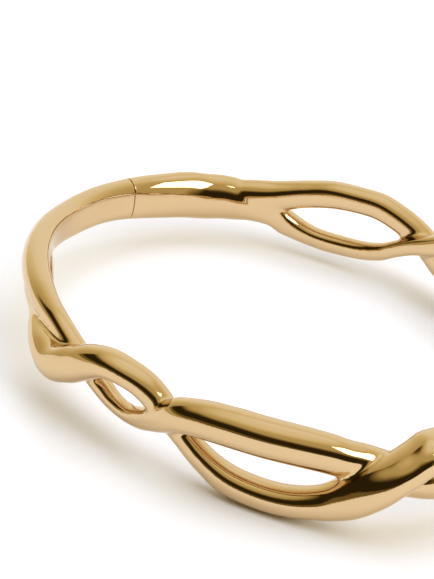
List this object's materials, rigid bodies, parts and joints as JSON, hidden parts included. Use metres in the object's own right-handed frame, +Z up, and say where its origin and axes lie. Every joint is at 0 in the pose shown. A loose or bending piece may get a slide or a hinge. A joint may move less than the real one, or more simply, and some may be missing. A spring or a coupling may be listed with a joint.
{
  "type": "hinged twist bangle",
  "caption": "Hinged oval bangle of twisted polished gold-tone strands that merge into one plain tube at the clasp and at the hinge.",
  "frame": {"origin": "middle of the wrist opening, on the surface that the bangle lies on", "axes": "+Z up through the wrist opening, +X along the oval's length towards the hinge, +Y across towards the back half"},
  "size_m": [0.0655, 0.0574, 0.0123],
  "materials": {
    "front_half": "mirror polished, gold plated",
    "back_half": "mirror polished, gold plated",
    "hinge_pin": "polished, gold plated",
    "clasp_tongue": "satin"
  },
  "bodies": {
    "front": {"front_half": "front_half", "hinge_pin": "hinge_pin"},
    "back": {"back_half": "back_half", "clasp_tongue": "clasp_tongue"}
  },
  "joints": [
    {"name": "hinge", "type": "hinge", "parent": "front", "child": "back", "pos_m": [0.03106, 0, 0.0065], "axis": [0, 0, -1], "range_deg": [0, 50]}
  ]
}
